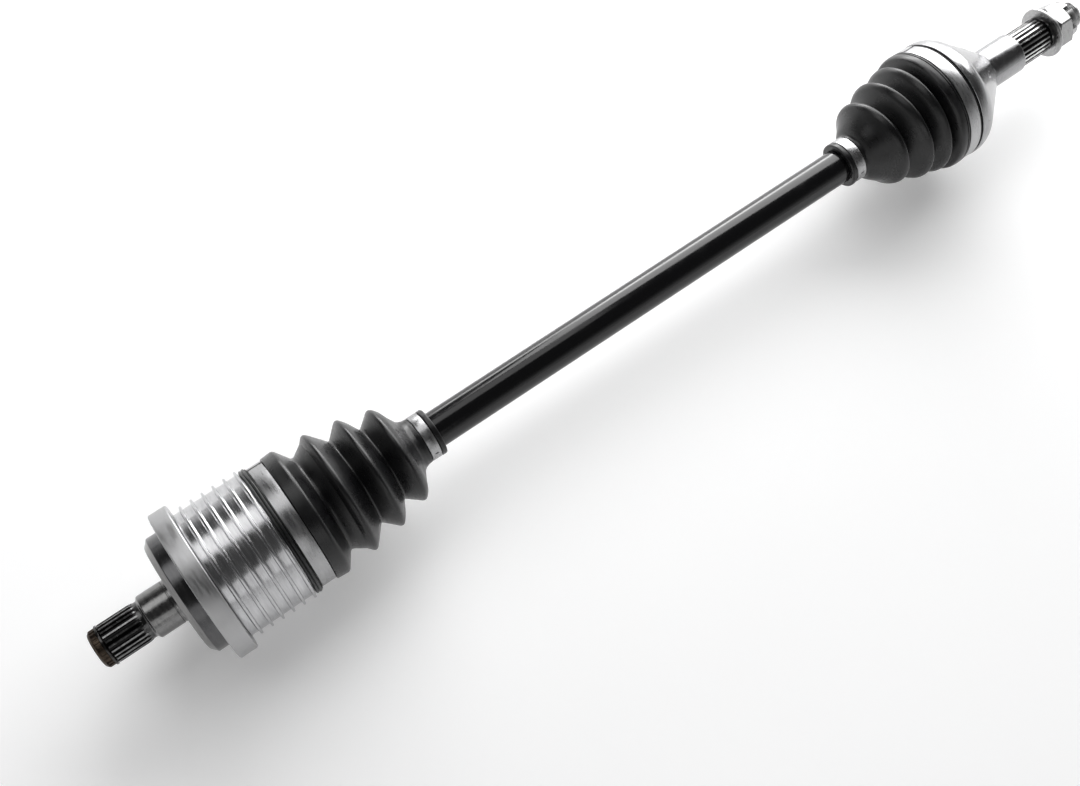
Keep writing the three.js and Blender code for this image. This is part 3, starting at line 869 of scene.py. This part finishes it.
def clamp(node, body, slot_from_z=None, ear_from_z=200):
    """A crimped band: an inner layer all round, an outer layer that ends in a step, and a folded ear."""
    start, end, radius = span(node)
    inside, under = radius - BAND_WALL, radius - BAND_LAYER
    band = [[start, inside], [end, inside], [end, under, BAND_EDGE], [start, under, BAND_EDGE]]
    lap_start, lap_end, lap_inside = start + 0.1, end - 0.1, inside + 0.3
    lap = [[lap_start, lap_inside], [lap_end, lap_inside], [lap_end, radius, 0.2], [lap_start, radius, 0.2]]
    ear_angle = math.radians(90 - ear_from_z)
    lap_angle = math.radians(150 if slot_from_z is None else 300)
    middle, half = (start + end) / 2, (end - start) * 0.31
    rows = []
    for step in range(EAR_ROWS):
        share = step / (EAR_ROWS - 1) * 2 - 1
        lift = EAR_HEIGHT * (1 - abs(share) ** 2.6)
        rows.append((ear_angle + share * (EAR_FOOT / radius), radius - 0.2 + lift))
    pieces = [
        skin(node + "_band", stations(rounded(band, True, 3)), closed=True),
        swept(node + "_lap", rounded(lap, True, 3), ear_angle - 0.06, ear_angle + lap_angle, 120),
        ear_fold(node + "_ear", rows, middle - half, middle + half, radius - 0.7),
    ]
    if slot_from_z is not None:
        turn = math.radians(90 - slot_from_z)
        pieces[1] = cut(pieces[1], block(SLOT_SIZE, (middle, radius, 0), turn))
    finished(joined(node + "_crimped", *pieces), body, "clamp_steel", BAND_STEEL, node)


def ear_fold(name, rows, start, end, floor):
    """A low hump that stands across a band: (angle, radius) rows between two stations."""
    edge = 0.12
    vertices, faces = [], []
    for angle, r in rows:
        section = [
            (start, floor),
            (start, r - edge),
            (start + edge, r),
            (end - edge, r),
            (end, r - edge),
            (end, floor),
        ]
        vertices += [turned_point(x, radius, angle) for x, radius in section]
    corners = 6
    for row in range(len(rows) - 1):
        a, b = row * corners, (row + 1) * corners
        for i in range(corners):
            j = (i + 1) % corners
            faces.append((a + i, a + j, b + j, b + i))
    faces.append(tuple(range(corners)))
    faces.append(tuple(range(len(vertices) - corners, len(vertices))))
    return mesh_object(name, vertices, faces)


# --- Hub end -------------------------------------------------------------------------------------------

BELL_START_X = 268.5
BELL_RADIUS = 43.9
RIM_WIDTH = 2.8
CROWN_RADIUS = 14
CONE_DEGREES = 40
OUTER_STUB_RADIUS = 14.6
OUTER_STUB_END_X = 339.3
OUTER_SPLINE_END_X = 368.2
THREAD_RADIUS = 9.9
THREAD_PITCH = 1.5
THREAD_DEPTH = 0.82
WASHER_BORE = 10.5
WASHER_COUNTERSINK = 1.9
NUT_FLATS = 30.0
NUT_CORNER_RADIUS = 17.6
NUT_CROWN_RADIUS = 13.6
NUT_CROWN_HEIGHT = 6.0
NUT_BORE = 10.9
NUT_SLOT_SIZE = (7.0, 34.0, 4.0)


def outer_housing():
    """The bell: a rim, a crown rounded into a cone, a stub, a spline and a thread, round the cavity."""
    crown = arc(BELL_START_X + RIM_WIDTH, BELL_RADIUS - CROWN_RADIUS, CROWN_RADIUS, 90, 90 - CONE_DEGREES, 14)
    cone_x, cone_r = crown[-1]
    foot_r = OUTER_STUB_RADIUS + 1.4
    foot_x = cone_x + (cone_r - foot_r) / math.tan(math.radians(CONE_DEGREES))
    rim = rounded(
        [
            [OUTER_MOUTH_X, 34.5],
            [OUTER_MOUTH_X, 39.8, 0.3],
            [OUTER_MOUTH_X + 1, 40.8, 0.3],
            [BELL_START_X, 40.8],
            [BELL_START_X, BELL_RADIUS, 0.7],
            crown[0],
        ]
    )
    stub = rounded(
        [
            crown[-1],
            [foot_x, foot_r, 0.5],
            [foot_x + 0.5, OUTER_STUB_RADIUS - 0.25, 0.2],
            [foot_x + 1.2, OUTER_STUB_RADIUS - 0.25, 0.2],
            [foot_x + 1.5, OUTER_STUB_RADIUS, 0.2],
            [OUTER_STUB_END_X - 0.9, OUTER_STUB_RADIUS, 0.4],
            [OUTER_STUB_END_X, OUTER_STUB_RADIUS - 0.8, 0.4],
            [OUTER_STUB_END_X, 13.3],
        ],
        steps=6,
    )
    rows = stations(rim[:-1] + crown[:-1] + stub)
    teeth_end = OUTER_SPLINE_END_X - 2.4
    chamfer = [(OUTER_STUB_END_X, 0), (teeth_end - 1.6, 0), (teeth_end - 0.6, 0.5), (teeth_end, 1.2)]
    for x, tip_drop in chamfer:
        rows += stations([(x, SPLINE_RADIUS)], teeth(SPLINE_ROOT_RADIUS, SPLINE_RADIUS - tip_drop))
    relief = [[teeth_end + 0.1, 11.7], [OUTER_SPLINE_END_X - 0.1, 11.7, 0.3], [OUTER_SPLINE_END_X, 10.2]]
    rows += stations(rounded(relief))
    length = THREAD_END_X - 1.2 - OUTER_SPLINE_END_X
    count = round(length / THREAD_PITCH * 6)
    for i in range(count + 1):
        x = OUTER_SPLINE_END_X + length * i / count
        rows += stations([(x, THREAD_RADIUS)], thread(THREAD_PITCH, THREAD_DEPTH))
    centre_drill = [(THREAD_END_X, 3.2), (THREAD_END_X - 1.6, 0)]
    rows += stations([(THREAD_END_X - 0.3, 8.9), (THREAD_END_X, 8.4)] + centre_drill)
    rows = cavity_rows() + rows
    zones = [
        (-math.inf, BELL_STEEL),
        (foot_x + 0.6, GROUND_STEEL),
        (OUTER_STUB_END_X - 0.01, TOOTH_STEEL_SHADED_ROOTS),
        (OUTER_SPLINE_END_X - 0.2, PLATED_STEEL),
    ]
    housing = skin("outer_housing_machined", rows, TOOTH_ANGLES)
    finished(housing, "outer_housing", "machined_steel", zones, "outer_housing")


def cavity_rows():
    """The fixed joint's spherical cavity with its arc tracks, from its bottom to its flared mouth."""
    made = [(OUTER_CENTRE_X + CAVITY_RADIUS, 0, None)]
    shape = track_outside(OUTER_CENTRE_X)
    steps = 28
    mouth = OUTER_MOUTH_X + 5.5
    widest = math.acos((mouth - OUTER_CENTRE_X) / CAVITY_RADIUS)
    for i in range(1, steps + 1):
        angle = widest * i / steps
        x = OUTER_CENTRE_X + CAVITY_RADIUS * math.cos(angle)
        made += stations([(x, CAVITY_RADIUS * math.sin(angle))], shape)
    made += stations([(OUTER_MOUTH_X + 2.5, 33.0), (OUTER_MOUTH_X, 34.4)], shape)
    return made


def hub_washer():
    """A thick washer with a bevelled outer edge, countersunk where it clears the spline."""
    start, end, radius = span("hub_washer")
    outline = [
        [start + WASHER_COUNTERSINK, WASHER_BORE, 0.2],
        [start, WASHER_BORE + WASHER_COUNTERSINK, 0.3],
        [start, radius - 0.4, 0.4],
        [start + 0.7, radius, 0.4],
        [start + 2.0, radius, 0.6],
        [end, radius - 2.0, 0.5],
        [end, WASHER_BORE, 0.3],
    ]
    washer = skin("hub_washer_turned", stations(rounded(outline, True)), closed=True)
    finished(washer, "hub_washer", "plated_steel", PLATED_STEEL, "hub_washer")


def hub_nut():
    """A castle nut: hexagon with chamfered corners, a round crown with six slots, and a threaded bore."""
    start, end, _ = span("hub_nut")
    shoulder = end - NUT_CROWN_HEIGHT
    sides = hexagon(NUT_FLATS)
    apothem = NUT_FLATS / 2
    low, high = apothem - 1.3, apothem - 1.0  # where the two chamfers of the hexagon start
    low_rise, high_rise = NUT_CORNER_RADIUS - low, NUT_CORNER_RADIUS - high
    shares = [i / 8 for i in range(9)]
    rows = stations([(start, NUT_BORE + 0.4), (start, apothem - 1.4)])
    rows += stations([(start + 1.7 * t, low + low_rise * t) for t in shares], sides)
    rows += stations([(start + 9, NUT_CORNER_RADIUS)], sides)
    rows += stations([(shoulder - 2.2 * (1 - t), high + high_rise * (1 - t)) for t in shares], sides)
    crown = [
        [shoulder, NUT_CROWN_RADIUS + 0.3],
        [shoulder, NUT_CROWN_RADIUS, 0.4],
        [end, NUT_CROWN_RADIUS, 0.8],
        [end, NUT_BORE + 0.4],
    ]
    rows += stations(rounded(crown))
    chamfer = 0.6
    length = end - start - 2 * chamfer
    count = round(length / THREAD_PITCH * 5)
    for i in range(count + 1):
        rows += stations([(end - chamfer - length * i / count, NUT_BORE)], thread(THREAD_PITCH, 0.7))
    nut = skin("hub_castle_nut", rows, [TURN * i / 240 for i in range(240)], closed=True)
    # each block goes right through, so three of them cut the six slots
    slots = [block(NUT_SLOT_SIZE, (end - 1.9, 0, 0), math.radians(30 + 60 * i)) for i in range(3)]
    finished(cut(nut, *slots), "hub_nut", "plated_steel", PLATED_STEEL, "hub_nut")


# --- Inside the joints ---------------------------------------------------------------------------------


def race(side, centre, shape):
    """An inner race: part of a ball, with six tracks."""
    start, end, _ = span(side + "_race")
    edge = math.degrees(math.asin((end - start) / 2 / RACE_RADIUS))
    crest = divided(arc(centre, 0, RACE_RADIUS, 90 + edge, 90 - edge, 20), 1.2)
    rows = stations([(start, RACE_BORE)]) + stations(crest, shape) + stations([(end, RACE_BORE)])
    piece = skin(side + "_race_ground", rows, closed=True)
    finished(piece, "axle_bar", "oiled_steel", DARK_STEEL, side + "_race")


def cage(side, centre):
    """A thin round shell with a window for each ball."""
    start, end, _ = span(side + "_cage")
    half = (end - start) / 2
    rims = []
    for radius, direction in ((CAGE_OUTSIDE, 1), (CAGE_INSIDE, -1)):
        edge = math.degrees(math.asin(half / radius)) * direction
        rims += arc(centre, 0, radius, 90 + edge, 90 - edge, 16)
    window = (16.5, 22.0, 18.5)
    cutters = [block(window, (centre, BALL_PITCH_RADIUS + 4, 0), TURN * i / BALLS) for i in range(BALLS)]
    piece = cut(skin(side + "_cage_ground", stations(rims), closed=True), *cutters)
    finished(piece, side + "_cage", "oiled_steel", DARK_STEEL, side + "_cage")


def balls(side):
    """The six balls of a joint, each on the body that the record gives it."""
    bodies = frame["record"]["behaviour"]["bodies"]
    for number in range(1, BALLS + 1):
        node = f"{side}_ball_{number}"
        low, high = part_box(node)
        work = bmesh.new()
        place = Matrix.Translation((low + high) / 2)
        bmesh.ops.create_icosphere(work, subdivisions=4, radius=BALL_RADIUS * MM, matrix=place)
        mesh = bpy.data.meshes.new(node)
        work.to_mesh(mesh)
        work.free()
        mesh.shade_smooth()
        body = next(name for name, nodes in bodies.items() if node in nodes)
        finished(linked(node + "_ground", mesh), body, "ball_steel", BALL_STEEL, node)


axle_bar()
inner_housing()
inner_dust_ring()
inner_boot()
outer_boot()
outer_housing()
hub_washer()
hub_nut()
clamp("inner_boot_large_clamp", "inner_housing", ear_from_z=205)
clamp("outer_boot_large_clamp", "outer_housing")
clamp("inner_boot_small_clamp", "axle_bar", slot_from_z=-72)
clamp("outer_boot_small_clamp", "axle_bar", slot_from_z=-72)
open_ring("stub_circlip", "inner_stub_circlip", "inner_housing", 150, inside=11.3, outside=13.5)
open_ring("stop_ring", "inner_stop_ring", "inner_housing", 0, inside=31.4, outside=34.7)
for side in ("inner", "outer"):
    clip = side + "_race_clip"
    open_ring(clip, side + "_race_circlip", "axle_bar", 180, inside=9.9, outside=12.3)
race("inner", INNER_CENTRE_X, track_inside())
race("outer", OUTER_CENTRE_X, track_inside(OUTER_CENTRE_X))
for side, centre in (("inner", INNER_CENTRE_X), ("outer", OUTER_CENTRE_X)):
    cage(side, centre)
    balls(side)


# --- Floor, light and camera ---------------------------------------------------------------------------

FLOOR_Z = CAD_BOX[0][2]
FLOOR_REACH = 6.0
GLOW_NEAR, GLOW_FAR = 0.6, 2.6  # the paper grows brighter between these distances
ROOM_STRENGTH = 0.75
ROOM_GREYS = ((0.14, 0.85), (0.3, 0.35), (0.5, 0.1))  # (height above the horizon, grey)
HORIZON_GREY = 0.95
CEILING_GREY = 0.08
CAMERA_AZIMUTH = -35.77
CAMERA_ELEVATION = 66.57
CAMERA_DISTANCE = 0.87
CAMERA_TARGET = (-0.0921, -0.0223, 0.0118)
LENS = 46.03
SENSOR_WIDTH = 36


def floor():
    """White studio paper, which lights itself a little so that it stays white."""
    mesh = bpy.data.meshes.new("floor")
    corners = [(x * FLOOR_REACH, y * FLOOR_REACH, FLOOR_Z) for x, y in ((-1, -1), (1, -1), (1, 1), (-1, 1))]
    mesh.from_pydata(corners, [], [(0, 1, 2, 3)])
    made = linked("floor", mesh)
    paper, tree, shader = principled("pale_floor")
    place = object_place(tree)
    shade = noise(tree, place, 3.0, 3)
    tree.links.new(mixed(tree, shade, (0.9, 0.9, 0.905), (0.93, 0.93, 0.93)), shader.inputs["Base Color"])
    shader.inputs["Roughness"].default_value = 0.7
    shader.inputs["Specular IOR Level"].default_value = 0.1
    shader.inputs["Emission Color"].default_value = (1, 1, 1, 1)
    distance = add(tree, "ShaderNodeVectorMath", {0: place}, operation="LENGTH").outputs["Value"]
    tree.links.new(ranged(tree, distance, GLOW_NEAR, GLOW_FAR, 0.2, 0.7), shader.inputs["Emission Strength"])
    mesh.materials.append(paper)


def softbox(name, place, size, radiance, aim_x):
    """A bright panel that faces a point on the axis."""
    light = bpy.data.lights.new(name, "AREA")
    light.shape = "RECTANGLE"
    light.size, light.size_y = size
    light.energy = 4 * size[0] * size[1] * radiance
    made = linked(name, light)
    made.location = place
    made.rotation_euler = (Vector(place) - Vector((aim_x, 0, 0))).to_track_quat("Z", "Y").to_euler()


def surroundings():
    """A pale horizon under a dark ceiling, so that round metal shows a dark stripe."""
    world = bpy.data.worlds.new("room")
    bpy.context.scene.world = world
    world.use_nodes = True
    tree = world.node_tree
    way = add(tree, "ShaderNodeTexCoord").outputs["Generated"]
    up = add(tree, "ShaderNodeSeparateXYZ", {0: way}).outputs[2]
    ramp = add(tree, "ShaderNodeValToRGB", {"Fac": up})
    stops = ramp.color_ramp.elements
    stops[0].position, stops[0].color = 0.0, (HORIZON_GREY, HORIZON_GREY, HORIZON_GREY, 1)
    stops[1].position, stops[1].color = 1.0, (CEILING_GREY, CEILING_GREY, CEILING_GREY, 1)
    for position, grey in ROOM_GREYS:
        stops.new(position).color = (grey, grey, grey, 1)
    tree.links.new(ramp.outputs["Color"], tree.nodes["Background"].inputs["Color"])
    tree.nodes["Background"].inputs["Strength"].default_value = ROOM_STRENGTH


def camera():
    """The photographer's view: from the gearbox end's near side, high above the bar."""
    azimuth, elevation = math.radians(CAMERA_AZIMUTH), math.radians(CAMERA_ELEVATION)
    level = math.cos(elevation)
    away = Vector((math.sin(azimuth) * level, -math.cos(azimuth) * level, math.sin(elevation)))
    lens = bpy.data.cameras.new("camera")
    lens.sensor_width = SENSOR_WIDTH
    lens.lens = LENS
    lens.clip_start = 0.01
    made = linked("camera", lens)
    made.location = Vector(CAMERA_TARGET) + away * CAMERA_DISTANCE
    made.rotation_euler = away.to_track_quat("Z", "Y").to_euler()
    bpy.context.scene.camera = made


floor()
softbox("key", (1.22, 0.96, 0.77), size=(2.3, 1.6), radiance=3.8, aim_x=0.35)
softbox("rim", (0.75, 1.7, 0.3), size=(1.5, 0.4), radiance=5, aim_x=0.0)
softbox("top", (-0.3, 0.4, 1.0), size=(1.2, 0.6), radiance=1.15, aim_x=-0.3)
softbox("fill", (-0.75, -1.2, 0.75), size=(1.4, 0.7), radiance=0.6, aim_x=-0.3)
surroundings()
camera()
bpy.context.scene.view_settings.view_transform = "Standard"
